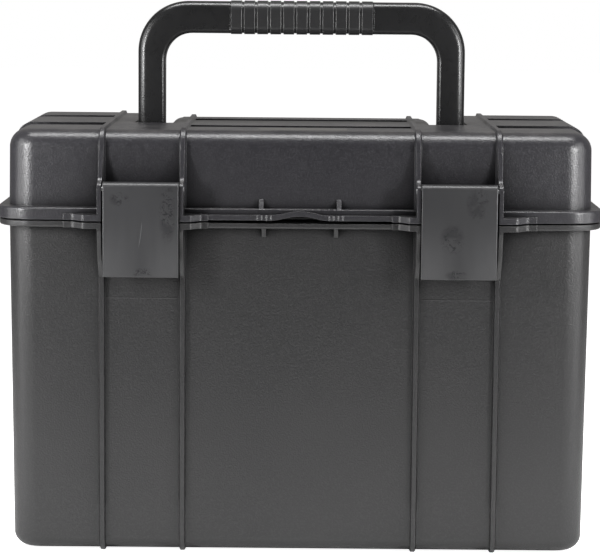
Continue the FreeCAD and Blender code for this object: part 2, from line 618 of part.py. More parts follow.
def make_bail():
    bail = front([(-LEG_X1, LEG_Z0), (LEG_X1, LEG_Z0), (LEG_X1, BAR_Z1, HANDLE_OUTER_R),
                  (-LEG_X1, BAR_Z1, HANDLE_OUTER_R)], HANDLE_Y0, HANDLE_Y1)
    outer_edges = []
    for edge in bail.Edges:
        ends = [vertex.Point for vertex in edge.Vertexes]
        if (len(ends) == 2 and abs(ends[0].y - ends[1].y) < 1e-4
                and not lies_at(edge, z=LEG_Z0)):
            outer_edges.append(edge)
    bail = bail.makeFillet(5.5, outer_edges)

    opening_z0 = HANDLE_PIVOT_Z - 40
    bail = bail.cut(front([(-LEG_X0, opening_z0), (LEG_X0, opening_z0),
                           (LEG_X0, BAR_Z0, HANDLE_INNER_R),
                           (-LEG_X0, BAR_Z0, HANDLE_INNER_R)],
                          HANDLE_Y0 - 1, HANDLE_Y1 + 1))
    inner_edges = []
    for edge in bail.Edges:
        ends = [vertex.Point for vertex in edge.Vertexes]
        if (len(ends) == 2 and abs(ends[0].y - ends[1].y) <= 1e-4
                and abs(abs(ends[0].y - HANDLE_PIVOT_Y) - HANDLE_T / 2) <= 1e-3
                and all(abs(end.x) < LEG_X0 + 1e-3 and end.z < BAR_Z0 + 1e-3
                        for end in ends)
                and edge.CenterOfMass.z > LEG_Z0 + 0.5):
            inner_edges.append(edge)
    # guards the fillet around the opening: if it fails, the edges stay sharp
    try:
        bail = bail.makeFillet(2.6, inner_edges)
    except Exception:
        pass

    # round the lower ends of the legs
    bail = bail.common(side([(HANDLE_Y0, LEG_Z0, LEG_END_R), (HANDLE_Y1, LEG_Z0, LEG_END_R),
                             (HANDLE_Y1, 380), (HANDLE_Y0, 380)], -130, 130))
    bail = bail.cut(bar_prism(6.0, GRIP_HALF_X + 0.1).cut(
        bar_prism(-GRIP_NECK, GRIP_HALF_X + 1)))
    return cut_each(bail, both(cylinder_x(90, 118, HANDLE_PIVOT_Y, HANDLE_PIVOT_Z,
                                          HANDLE_PIN_R + PIN_CLEARANCE)))


def make_grip():
    grip = bar_prism(GRIP_OVER, GRIP_HALF_X)
    core = bar_prism(GRIP_OVER - GRIP_GROOVE_D, 60)
    for i in range(GRIP_GROOVES):
        x = (i - (GRIP_GROOVES - 1) / 2) * GRIP_PITCH
        ring = box(x - GRIP_GROOVE_W / 2, x + GRIP_GROOVE_W / 2, -40, 30, 330, 380)
        grip = grip.cut(ring.cut(core))
    return grip.cut(bar_prism(-GRIP_NECK + 0.05, GRIP_HALF_X + 1))


export(make_bail(), "handle_bail")
export(make_grip(), "handle_grip")

# ----------------------------------------------------------------------- foam
FOAM_GAP = 0.4
PAD_FOAM_Z0, PAD_FOAM_Z1 = 4.7, 14.2
LOWER_Z0, LOWER_Z1 = PAD_FOAM_Z1 + FOAM_GAP, 117.6
TRAY_Z0, TRAY_Z1 = LOWER_Z1 + FOAM_GAP, 206.0

# bays: centre x, centre y, half x, half y, corner radius, floor height above
# the bottom of the foam
LOWER_BAYS = [(-150.0 + i * 38.0, 48.0, 14.0, 36.0, 5.0, 30) for i in range(4)] + [
    (-86.0, -48.0, 82.0, 36.0, 10.0, 40),
    (95.0, 0.0, 72.0, 80.0, 12.0, 30)]
LOWER_ROUND_BAYS = ((-86.0, -12.5), (95.0, -84.0), (-93.0, 86.0))
TRAY_MIDDLE_BAY = (-40.0, 0, 72.0, 34.0, 12.0, 16)
TRAY_SIDE_BAY = (134.0, 0.0, 36.0, 72.0, 10.0, 22)
TRAY_DEEP = 36  # floor height of the corner bays and slanted arms


def bay(x, y, half_x, half_y, radius, floor, foam_z0, top):
    return slab(half_x, half_y, radius, foam_z0 + floor, top).translated(Vector(x, y, 0))


def make_lower_block():
    bays = [bay(*row, LOWER_Z0, 130) for row in LOWER_BAYS]
    for x, y in LOWER_ROUND_BAYS:
        bays.append(cylinder_z(x, y, LOWER_Z0 + 70, 130, 13.0).common(
            box(-180, 180, -95.0, 95.0, 80, 131)))
    return slab(187.2, 100.0, 14.5, LOWER_Z0, LOWER_Z1).cut(joined(bays))


def make_upper_tray():
    """Tray with a middle bay, four corner bays on slanted arms and a side bay."""
    middle_x = TRAY_MIDDLE_BAY[0]
    bays = [bay(*TRAY_MIDDLE_BAY, TRAY_Z0, 210)]
    for side_x, side_y in ((-1, -1), (1, -1), (-1, 1), (1, 1)):
        bays.append(bay(middle_x + side_x * 92.0, side_y * 66.0, 22.0, 22.0, 21.0,
                        TRAY_DEEP, TRAY_Z0, 210))
        arm = slab(50.0, 11.0, 8.0, TRAY_Z0 + TRAY_DEEP, 210)
        arm.rotate(Vector(0, 0, 0), Vector(0, 0, 1),
                   math.degrees(math.atan2(side_y * 40, side_x * 60)))
        bays.append(arm.translated(Vector(middle_x + side_x * 62.0, side_y * 44.0, 0)))
    bays.append(bay(*TRAY_SIDE_BAY, TRAY_Z0, 210))
    for y in (-72.0, 72.0):
        bays.append(cylinder_z(TRAY_SIDE_BAY[0], y, TRAY_Z0 + 46, 210, 14.0))
    return slab(188.0, 100.9, 14.5, TRAY_Z0, TRAY_Z1).cut(joined(bays))


def make_lift_loop(x):
    """Webbing loop standing on one end of the tray."""
    outer = side([(-24, 206.5, 0.2), (24, 206.5, 0.2), (16, 217.0, 6), (-16, 217.0, 6)],
                 x - 5.0, x + 5.0)
    return outer.cut(side([(-21.6, 207.9, 2), (21.6, 207.9, 2), (14.9, 215.6, 4.5),
                           (-14.9, 215.6, 4.5)], x - 6.0, x + 6.0))


CRATE_COUNT_X, CRATE_COUNT_Y, CRATE_PITCH = 13, 7, 27.4
CRATE_Z0, CRATE_Z1 = 236.0, 254.4
PEAK_BASE_Z, PEAK_H = CRATE_Z0 + 0.2, 10.5


def make_lid_foam():
    """Egg-crate sheet with a grid of rounded peaks pointing down."""
    tip_z = PEAK_BASE_Z - PEAK_H
    peaks = []
    for i in range(CRATE_COUNT_X):
        for j in range(CRATE_COUNT_Y):
            x = (i - (CRATE_COUNT_X - 1) / 2) * CRATE_PITCH
            y = (j - (CRATE_COUNT_Y - 1) / 2) * CRATE_PITCH
            peak = Part.makeCone(11.6, 4.6, PEAK_H, Vector(x, y, PEAK_BASE_Z),
                                 Vector(0, 0, -1))
            tip_edges = [edge for edge in peak.Edges
                         if abs(edge.BoundBox.ZMax - tip_z) < 1e-3
                         and abs(edge.BoundBox.ZMin - tip_z) < 1e-3]
            peaks.append(peak.makeFillet(3.2, tip_edges))
    return slab(188.7, 101.6, 13.5, CRATE_Z0, CRATE_Z1).multiFuse(peaks)


export(slab(180.5, 93.4, 10.0, PAD_FOAM_Z0, PAD_FOAM_Z1), "foam_floor_pad")
export(make_lower_block(), "foam_lower_block")
export(make_upper_tray(), "foam_upper_tray")
for end_name, sign in (("left", -1), ("right", 1)):
    export(make_lift_loop(sign * 179.2), "tray_lift_loop_" + end_name)
export(make_lid_foam(), "lid_foam")
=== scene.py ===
# A black hard case, closed and lying flat: a ribbed tub and lid, a front handle, two latch
# plates, and foam inside. X runs across, the front faces -Y, Z is up and the floor is z = 0.
import math

import bmesh
import bpy
from mathutils import Matrix, Vector


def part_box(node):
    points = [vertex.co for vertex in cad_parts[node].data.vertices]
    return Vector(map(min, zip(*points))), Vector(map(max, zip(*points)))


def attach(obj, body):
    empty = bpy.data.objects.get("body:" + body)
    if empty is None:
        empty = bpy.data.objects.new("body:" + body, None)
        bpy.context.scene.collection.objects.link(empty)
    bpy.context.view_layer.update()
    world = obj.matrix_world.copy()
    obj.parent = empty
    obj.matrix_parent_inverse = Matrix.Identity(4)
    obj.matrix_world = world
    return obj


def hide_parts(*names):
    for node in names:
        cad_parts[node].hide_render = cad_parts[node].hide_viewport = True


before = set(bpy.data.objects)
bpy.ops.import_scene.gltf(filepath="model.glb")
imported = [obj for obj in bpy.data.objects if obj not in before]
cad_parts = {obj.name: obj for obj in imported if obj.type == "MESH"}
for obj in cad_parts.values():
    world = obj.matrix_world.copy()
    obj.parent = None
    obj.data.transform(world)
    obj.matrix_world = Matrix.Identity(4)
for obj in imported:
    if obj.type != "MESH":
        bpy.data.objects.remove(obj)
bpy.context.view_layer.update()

scene = bpy.context.scene
MM = 0.001
WELD = 2e-6  # joins the duplicate points of the tessellated pieces


# --------------------------------------------------------------- shader building
def smooth_range(tree, start, end, low, high):
    """Map Range node easing from low at start to high at end."""
    node = tree.nodes.new("ShaderNodeMapRange")
    node.interpolation_type = "SMOOTHSTEP"
    for index, value in enumerate((start, end, low, high), 1):
        node.inputs[index].default_value = value
    return node


class Material:
    """A procedural material in object coordinates; most methods return a socket."""

    def __init__(self, name):
        self.material = bpy.data.materials.new(name)
        self.material.use_nodes = True
        self.tree = self.material.node_tree
        self.tree.nodes.clear()
        output = self.node("ShaderNodeOutputMaterial")
        self.surface = self.node("ShaderNodeBsdfPrincipled")
        self.link(self.surface.outputs[0], output.inputs[0])
        self.place = self.node("ShaderNodeTexCoord").outputs["Object"]

    def link(self, source, target):
        self.tree.links.new(source, target)

    def node(self, kind, **settings):
        node = self.tree.nodes.new(kind)
        for key, value in settings.items():
            setattr(node, key, value)
        return node

    def feed(self, socket, value):
        """Links another socket or sets a plain value."""
        if isinstance(value, bpy.types.NodeSocket):
            self.link(value, socket)
        else:
            socket.default_value = value

    def math(self, operation, first, second=0.0):
        node = self.node("ShaderNodeMath", operation=operation)
        self.feed(node.inputs[0], first)
        self.feed(node.inputs[1], second)
        return node.outputs[0]

    def add(self, first, second):
        return self.math("ADD", first, second)

    def sub(self, first, second):
        return self.math("SUBTRACT", first, second)

    def mul(self, first, second):
        return self.math("MULTIPLY", first, second)

    def max(self, first, second):
        return self.math("MAXIMUM", first, second)

    def abs(self, value):
        return self.math("ABSOLUTE", value)

    def ramp(self, value, start=0.3, end=0.7, low=0.0, high=1.0):
        node = smooth_range(self.tree, start, end, low, high)
        self.feed(node.inputs[0], value)
        return node.outputs[0]

    def fall(self, value, start, end):
        """1 up to start, 0 from end on."""
        return self.ramp(value, start, end, low=1.0, high=0.0)

    def stretched(self, scale):
        node = self.node("ShaderNodeMapping")
        self.link(self.place, node.inputs["Vector"])
        node.inputs["Scale"].default_value = scale
        return node.outputs[0]

    def noise(self, scale, detail=3.0, rough=0.6, distortion=0.0, vector=None):
        node = self.node("ShaderNodeTexNoise")
        self.link(vector or self.place, node.inputs["Vector"])
        node.inputs["Scale"].default_value = scale
        node.inputs["Detail"].default_value = detail
        node.inputs["Roughness"].default_value = rough
        node.inputs["Distortion"].default_value = distortion
        return node.outputs[0]

    def voronoi(self, scale):
        node = self.node("ShaderNodeTexVoronoi")
        self.link(self.place, node.inputs["Vector"])
        node.inputs["Scale"].default_value = scale
        return node.outputs["Distance"]

    def mix(self, factor, first, second):
        """Blends two colours, each a socket or an RGB triple."""
        node = self.node("ShaderNodeMix", data_type="RGBA")
        self.feed(node.inputs[0], factor)
        for socket, color in ((node.inputs[6], first), (node.inputs[7], second)):
            self.feed(socket, (*color, 1.0) if isinstance(color, tuple) else color)
        return node.outputs[2]

    def clouded(self, scale, dark, light):
        """Base colour drifting softly between two tones."""
        return self.mix(self.ramp(self.noise(scale)), dark, light)

    def split(self, vector):
        node = self.node("ShaderNodeSeparateXYZ")
        self.link(vector, node.inputs[0])
        return node.outputs

    def face_normal(self):
        return self.node("ShaderNodeNewGeometry").outputs["Normal"]

    def bevel(self, radius, samples=6):
        node = self.node("ShaderNodeBevel", samples=samples)
        node.inputs["Radius"].default_value = radius
        return node.outputs[0]

    def edge_mask(self, radius, start=0.02, end=0.25):
        """1 near edges, 0 on flats: how far the rounded normal leans."""
        dot = self.node("ShaderNodeVectorMath", operation="DOT_PRODUCT")
        self.link(self.bevel(radius, samples=4), dot.inputs[0])
        self.link(self.face_normal(), dot.inputs[1])
        return self.ramp(self.sub(1.0, dot.outputs["Value"]), start, end)

    def recess(self, distance, start, end, dark):
        """Painted-shade factor: 1 in the open, dark where neighbouring surfaces close in."""
        node = self.node("ShaderNodeAmbientOcclusion", samples=8)
        node.inputs["Distance"].default_value = distance
        return self.ramp(node.outputs["AO"], start, end, low=dark)

    def bump(self, height, strength, distance, normal=None):
        node = self.node("ShaderNodeBump")
        node.inputs["Strength"].default_value = strength
        node.inputs["Distance"].default_value = distance
        self.link(height, node.inputs["Height"])
        if normal is not None:
            self.link(normal, node.inputs["Normal"])
        return node.outputs[0]

    def finish(self, color, rough, normal=None, specular=0.5, metallic=0.0, **extra):
        """Feeds the surface; extra names are its inputs with _ for spaces."""
        inputs = {"Base Color": color, "Roughness": rough, "Metallic": metallic,
                  "Specular IOR Level": specular}
        if normal is not None:
            inputs["Normal"] = normal
        for key, value in extra.items():
            inputs[key.replace("_", " ")] = value
        for key, value in inputs.items():
            self.feed(self.surface.inputs[key], value)
        return self.material


def scaled(color, gain, lift=0.0):
    return tuple(channel * gain + lift for channel in color)


# --------------------------------------------------------------------- materials
def tool_line(mat, normal):
    """Faint line across the front between each pair of ribs."""
    x, y, z = mat.split(mat.place)
    side = mat.abs(x)
    between_ribs = mat.mul(mat.ramp(side, start=0.0805, end=0.081),
                           mat.fall(side, start=0.1275, end=0.128))
    front = mat.fall(y, start=-0.100, end=-0.099)
    line_height = 0.1716
    off_line = mat.abs(mat.sub(z, line_height))
    line = mat.mul(mat.fall(off_line, start=0.0, end=0.0007),
                   mat.mul(between_ribs, front))
    return mat.bump(line, strength=0.35, distance=0.22 * MM, normal=normal)


def shell_material(name, dark, light, rough, grain=1.0, line=False):
    """Grained moulded plastic; grain scales the relief, line adds the tool line."""
    mat = Material(name)
    fine = mat.noise(scale=900.0, detail=2.0)
    medium = mat.noise(scale=230.0, rough=0.65)
    color = mat.clouded(scale=9.0, dark=dark, light=light)

    # pale specks, then pale worn edges
    speck_amount = 0.60
    speck = mat.ramp(fine, start=0.42, end=0.72)
    color = mat.mix(mat.mul(speck, speck_amount), color, scaled(light, gain=1.9))
    wear_amount = 0.45
    patches = mat.ramp(mat.noise(scale=60.0, detail=4.0, rough=0.7), start=0.40, end=0.68)
    wear = mat.mul(mat.edge_mask(radius=1.1 * MM), patches)
    color = mat.mix(mat.mul(wear, wear_amount), color, scaled(light, gain=2.6, lift=0.01))

    # a little dust lying on upward faces
    dust_amount, dust_color = 0.11, (0.30, 0.28, 0.26)
    upward = mat.ramp(mat.split(mat.face_normal())[2], start=0.75, end=1.0)
    drift = mat.ramp(mat.noise(scale=35.0, detail=5.0, rough=0.7), start=0.35, end=0.8)
    color = mat.mix(mat.mul(mat.mul(upward, drift), dust_amount), color, dust_color)

    # roughness varies by rough_spread, centred on the given value
    rough_spread = 0.06
    roughness = mat.add(rough - 0.03, mat.mul(mat.ramp(medium), rough_spread))
    fine_relief, medium_relief = 0.7 * grain, 0.12 * grain
    relief = mat.add(mat.mul(fine, fine_relief), mat.mul(medium, medium_relief))
    normal = mat.bump(relief, strength=0.9, distance=0.32 * MM,
                      normal=mat.bevel(0.55 * MM))
    if line:
        normal = tool_line(mat, normal)

    # painted shade: darker colour and less sheen in the corners and recesses, but not near
    # the floor
    painted_shade_color, unshaded_specular = (0.0030, 0.0030, 0.0031), 0.5
    unshaded = mat.recess(distance=28 * MM, start=0.26, end=0.86, dark=0.15)
    unshaded = mat.max(unshaded, mat.fall(mat.split(mat.place)[2], start=0.030, end=0.045))
    # painted shade mixed into the colour; the specular is lowered by the same factor
    color = mat.mix(unshaded, painted_shade_color, color)
    return mat.finish(color, roughness, normal, specular=mat.mul(unshaded, unshaded_specular))


def handling_smudge(mat, x, z):
    """Greasy mottling inside a few oval spots."""
    # across (x or its size), height z, half width, half height
    spots = (
        (x, -0.0860, 0.2300, 0.0060, 0.0210),
        (x, -0.1175, 0.2385, 0.0070, 0.0050),
        (x, 0.1155, 0.2370, 0.0080, 0.0120),
        (x, 0.0990, 0.2140, 0.0085, 0.0100),
        (mat.abs(x), 0.1020, 0.1905, 0.0075, 0.0035),
    )
    marks = None
    for across, center_x, center_z, half_x, half_z in spots:
        off_x = mat.math("DIVIDE", mat.sub(across, center_x), half_x)
        off_z = mat.math("DIVIDE", mat.sub(z, center_z), half_z)
        squared = mat.add(mat.mul(off_x, off_x), mat.mul(off_z, off_z))
        spot = mat.fall(squared, start=0.1, end=1.2)
        marks = spot if marks is None else mat.max(marks, spot)
    soft_amount = 0.6
    fine = mat.ramp(mat.noise(scale=260.0, detail=6.0, rough=0.72, distortion=1.4),
                    start=0.50, end=0.60)
    soft = mat.ramp(mat.noise(scale=75.0, distortion=0.6), start=0.46, end=0.62)
    return mat.mul(mat.max(fine, mat.mul(soft, soft_amount)), marks)


def curved_scratch(mat, x, z):
    """One fine bent scratch on the -X latch."""
    middle_z, curvature, offset_x = 0.226, 6.0, 0.1028
    bend = mat.mul(mat.math("POWER", mat.abs(mat.sub(z, middle_z)), 2.0), curvature)
    arc = mat.abs(mat.sub(mat.sub(mat.mul(x, -1.0), offset_x), bend))
    return mat.mul(mat.fall(arc, start=0.0, end=0.00028),
                   mat.mul(mat.ramp(z, start=0.206, end=0.211),
                           mat.fall(z, start=0.220, end=0.225)))


def latch_material():
    mat = Material("latch_plastic")
    color = mat.clouded(scale=16.0, dark=(0.0150, 0.0150, 0.0160),
                        light=(0.0192, 0.0192, 0.0206))
    x, _, z = mat.split(mat.place)
    smudge = handling_smudge(mat, x, z)
    smudge_amount, scratch_amount, edge_highlight_amount = 0.75, 0.8, 0.35
    color = mat.mix(mat.mul(smudge, smudge_amount), color, (0.004, 0.004, 0.005))
    scratch = curved_scratch(mat, x, z)
    color = mat.mix(mat.mul(scratch, scratch_amount), color, (0.10, 0.10, 0.103))
    # painted highlight: the rounded edges are lightened as if catching the light
    edge = mat.edge_mask(radius=0.9 * MM)
    color = mat.mix(mat.mul(edge, edge_highlight_amount), color, (0.085, 0.085, 0.088))

    fine_relief, smudge_relief = 0.5, -0.3
    fine = mat.noise(scale=1500.0, detail=2.0, rough=0.5)
    relief = mat.add(mat.mul(fine, fine_relief), mat.mul(smudge, smudge_relief))
    normal = mat.bump(relief, strength=0.18, distance=0.1 * MM,
                      normal=mat.bevel(0.6 * MM))
    # smudges are rougher and less shiny than the clean plastic
    clean_rough, added_rough = 0.42, 0.12
    clean_specular, lost_specular = 0.5, 0.30
    return mat.finish(color, mat.add(clean_rough, mat.mul(smudge, added_rough)), normal,
                      specular=mat.sub(clean_specular, mat.mul(smudge, lost_specular)))


def handle_material():
    mat = Material("handle_plastic")
    color = mat.clouded(scale=14.0, dark=(0.0062, 0.0062, 0.0065),
                        light=(0.0088, 0.0088, 0.0092))
    fine = mat.noise(scale=700.0, rough=0.55)
    swirl = mat.noise(scale=120.0, detail=4.0, rough=0.7, distortion=1.2)
    base_rough, swirl_rough = 0.27, 0.05
    rough = mat.add(base_rough, mat.mul(mat.ramp(swirl, start=0.3, end=0.8), swirl_rough))
    normal = mat.bump(fine, strength=0.05, distance=0.05 * MM,
                      normal=mat.bevel(1.8 * MM))
    return mat.finish(color, rough, normal)


def grip_material():
    mat = Material("grip_plastic")
    fine = mat.noise(scale=1100.0, detail=2.0)
    color = mat.clouded(scale=20.0, dark=(0.011, 0.011, 0.0115),
                        light=(0.0165, 0.0165, 0.017))
    edge_highlight_amount, base_rough, fine_rough = 0.75, 0.30, 0.10
    # painted highlight: the groove and rib edges are lightened as if catching the light
    edge = mat.edge_mask(radius=0.55 * MM, start=0.01, end=0.18)
    color = mat.mix(mat.mul(edge, edge_highlight_amount), color, (0.16, 0.16, 0.16))
    normal = mat.bump(fine, strength=0.25, distance=0.10 * MM,
                      normal=mat.bevel(0.5 * MM))
    return mat.finish(color, mat.add(base_rough, mat.mul(fine, fine_rough)), normal)


def badge_material():
    mat = Material("badge_plastic")
    brush = mat.noise(scale=260.0, vector=mat.stretched((0.06, 1, 1)))
    color = mat.mix(mat.ramp(brush), (0.050, 0.048, 0.045), (0.068, 0.065, 0.060))
    normal = mat.bump(brush, strength=0.12, distance=0.08 * MM,
                      normal=mat.bevel(0.2 * MM))
    base_rough, brush_rough = 0.34, 0.15
    return mat.finish(color, mat.add(base_rough, mat.mul(brush, brush_rough)), normal)


def rubber_material():
    mat = Material("seal_rubber")
    fine = mat.noise(scale=1300.0, detail=2.0, rough=0.5)
    color = mat.mix(mat.noise(scale=40.0, detail=2.0, rough=0.5),
                    (0.012, 0.012, 0.012), (0.024, 0.024, 0.024))
    normal = mat.bump(fine, strength=0.3, distance=0.1 * MM)
    return mat.finish(color, rough=0.62, normal=normal, specular=0.35)


def foam_material(name, dark, light):
    """Open-cell foam whose pores are darkened with painted shade."""
    mat = Material(name)
    small_cells = mat.voronoi(scale=1050.0)
    large_cells = mat.voronoi(scale=520.0)
    color = mat.clouded(scale=22.0, dark=dark, light=light)
    pore_shade_amount, cell_relief = 0.55, 0.8
    # painted shade in the pores, darkest towards the cell centres
    wall = mat.ramp(small_cells, start=0.12, end=0.55)
    color = mat.mix(mat.mul(mat.sub(1.0, wall), pore_shade_amount), color,
                    scaled(dark, gain=0.35))
    relief = mat.add(mat.mul(small_cells, cell_relief), mat.mul(large_cells, cell_relief))
    normal = mat.bump(relief, strength=0.75, distance=0.45 * MM)
    return mat.finish(color, rough=0.93, normal=normal, specular=0.12,
                      Sheen_Weight=0.35, Sheen_Roughness=0.5)


def webbing_material():
    mat = Material("webbing")
    vector = mat.stretched((1, 1, 1))
    threads = []
    for direction, scale in (("X", 170.0), ("Y", 110.0)):
        wave = mat.node("ShaderNodeTexWave", bands_direction=direction)
        mat.link(vector, wave.inputs["Vector"])
        wave.inputs["Scale"].default_value = scale
        threads.append(wave.outputs[1])
    weave = mat.mul(*threads)
    fuzz_relief = 0.3
    fuzz = mat.mul(mat.noise(scale=900.0), fuzz_relief)
    color = mat.mix(weave, (0.018, 0.018, 0.019), (0.055, 0.055, 0.058))
    normal = mat.bump(mat.add(weave, fuzz), strength=0.7, distance=0.3 * MM)
    return mat.finish(color, rough=0.85, normal=normal, specular=0.2, Sheen_Weight=0.4)


def steel_material():
    mat = Material("pin_steel")
    brush = mat.noise(scale=500.0, detail=4.0, vector=mat.stretched((0.08, 1, 1)))
    color = mat.mix(mat.ramp(brush), (0.30, 0.30, 0.31), (0.46, 0.46, 0.47))
    normal = mat.bump(brush, strength=0.2, distance=0.05 * MM)
    base_rough, brush_rough = 0.28, 0.2
    return mat.finish(color, mat.add(base_rough, mat.mul(brush, brush_rough)), normal,
                      metallic=1.0)


def floor_material():
    """Pale studio floor; the camera sees it lifted to near white."""
    mat = Material("stage_white")
    color = mat.mix(mat.noise(scale=3.0, detail=2.0, rough=0.5),
                    (0.93, 0.93, 0.93), (0.96, 0.96, 0.96))
    camera_ray = mat.node("ShaderNodeLightPath").outputs["Is Camera Ray"]
    glow = 0.95
    return mat.finish(color, rough=0.9, specular=0.1, Emission_Color=(1, 1, 1, 1),
                      Emission_Strength=mat.mul(camera_ray, glow))


TUB = shell_material("shell_tub", dark=(0.0098, 0.0098, 0.0102),
                     light=(0.0126, 0.0123, 0.0126), rough=0.37, line=True)
LID = shell_material("shell_lid", dark=(0.0125, 0.0121, 0.0142),
                     light=(0.0155, 0.0150, 0.0172), rough=0.34, grain=0.8)
LATCH = latch_material()
HANDLE = handle_material()
GRIP = grip_material()
BADGE = badge_material()
RUBBER = rubber_material()
DARK_FOAM = foam_material("foam_dark", dark=(0.040, 0.041, 0.044),
                          light=(0.055, 0.056, 0.060))
GREY_FOAM = foam_material("foam_grey", dark=(0.085, 0.086, 0.092),
                          light=(0.115, 0.116, 0.124))
WEBBING = webbing_material()
STEEL = steel_material()

# every piece not listed here is steel
NODE_MATERIAL = {
    "base_shell": TUB, "lid_shell": LID, "badge_plate": BADGE,
    "lid_seal": RUBBER, "handle_bail": HANDLE, "handle_grip": GRIP,
    "latch_plate_left": LATCH, "latch_plate_right": LATCH,
    "foam_floor_pad": DARK_FOAM, "foam_lower_block": DARK_FOAM,
    "foam_upper_tray": DARK_FOAM, "lid_foam": GREY_FOAM,
    "tray_lift_loop_left": WEBBING, "tray_lift_loop_right": WEBBING,
}
for name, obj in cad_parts.items():
    material = NODE_MATERIAL.get(name, STEEL)
    if not obj.data.materials:
        obj.data.materials.append(material)
    for material_slot in obj.material_slots:
        material_slot.material = material


# ----------------------------------------------- smooth shading of the CAD pieces
def smooth_group(sharp_angle=32):
    """Joins the tessellated faces and shades them smooth below the angle in degrees."""
    group = bpy.data.node_groups.new("soft_shading", "GeometryNodeTree")
    for direction in ("INPUT", "OUTPUT"):
        group.interface.new_socket("Geometry", in_out=direction,
                                   socket_type="NodeSocketGeometry")
    new, link = group.nodes.new, group.links.new
    source = new("NodeGroupInput")
    result = new("NodeGroupOutput")
    weld = new("GeometryNodeMergeByDistance")
    weld.inputs["Distance"].default_value = WELD
    edge_angle = new("GeometryNodeInputMeshEdgeAngle")
    shallow = new("FunctionNodeCompare")
    shallow.data_type = "FLOAT"
    shallow.operation = "LESS_THAN"
    shallow.inputs[1].default_value = math.radians(sharp_angle)
    smooth_faces = new("GeometryNodeSetShadeSmooth")
    smooth_faces.domain = "FACE"
    smooth_edges = new("GeometryNodeSetShadeSmooth")
    smooth_edges.domain = "EDGE"
    chain = (source, weld, smooth_faces, smooth_edges, result)
    for before, after in zip(chain, chain[1:]):
        link(before.outputs[0], after.inputs[0])
    link(edge_angle.outputs[0], shallow.inputs[0])
    link(shallow.outputs[0], smooth_edges.inputs["Shade Smooth"])
    return group


soft_shading = smooth_group()
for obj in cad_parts.values():
    obj.modifiers.new("soft_shading", "NODES").node_group = soft_shading


# -------------------------------------------------------------------- soft goods
def to_mesh(name, bm):
    mesh = bpy.data.meshes.new(name)
    bm.to_mesh(mesh)
    bm.free()
    return mesh


def new_object(name, data):
    obj = bpy.data.objects.new(name, data)
    scene.collection.objects.link(obj)
    return obj


def add_part(mesh, material, body, replaced):
    """Puts a mesh in place of a CAD piece, moving with the given body."""
    obj = new_object(mesh.name, mesh)
    mesh.materials.append(material)
    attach(obj, body)
    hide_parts(replaced)


def wobble(x, y, z):
    """Small smooth unevenness of cut foam, the same every run."""
    return (math.sin(x * 61.0 + y * 23.0) * math.sin(y * 47.0 - z * 31.0)
            + 0.6 * math.sin(x * 149.0 - z * 97.0 + 1.3)
            * math.sin(y * 131.0 + z * 83.0 + 0.7))


CUT_EDGE = 1.6 * MM    # bevel on the knife edges
CUT_GRID = 7.0 * MM    # spacing of the slices
CUT_MARGIN = 3 * MM    # no slice this near the far side
CUT_WOBBLE = 0.22 * MM
CUT_INSET = 1.5        # shrinks the block, in units of CUT_WOBBLE


def foam_block(node, name):
    """Cut foam: the CAD solid with eased knife edges and uneven faces."""
    bm = bmesh.new()
    bm.from_mesh(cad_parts[node].data)
    bmesh.ops.remove_doubles(bm, verts=bm.verts, dist=WELD)
    bmesh.ops.dissolve_limit(bm, angle_limit=math.radians(1.0), verts=bm.verts,
                             edges=bm.edges)
    sharp = [edge for edge in bm.edges if len(edge.link_faces) == 2
             and edge.calc_face_angle(0.0) > math.radians(40)]
    bmesh.ops.bevel(bm, geom=sharp, offset=CUT_EDGE, offset_type="OFFSET",
                    segments=3, profile=0.5, affect="EDGES", clamp_overlap=True)
    # slice the flat faces so their surface can wander a little
    low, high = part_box(node)
    for axis in range(3):
        direction = Vector((axis == 0, axis == 1, axis == 2))
        cut = low[axis] + CUT_GRID
        while cut < high[axis] - CUT_MARGIN:
            bmesh.ops.bisect_plane(bm, geom=bm.verts[:] + bm.edges[:] + bm.faces[:],
                                   dist=1e-6, plane_co=direction * cut,
                                   plane_no=direction)
            cut += CUT_GRID
    bm.normal_update()
    for vert in bm.verts:
        vert.co = vert.co + vert.normal * ((wobble(*vert.co) - CUT_INSET) * CUT_WOBBLE)
    bmesh.ops.triangulate(bm, faces=[face for face in bm.faces if len(face.verts) > 4])
    mesh = to_mesh(name, bm)
    for polygon in mesh.polygons:
        polygon.use_smooth = True
    mesh.set_sharp_from_angle(angle=math.radians(38))
    add_part(mesh, DARK_FOAM, "base", node)


foam_block("foam_upper_tray", "tray_foam")
foam_block("foam_lower_block", "block_foam")
foam_block("foam_floor_pad", "floor_foam")


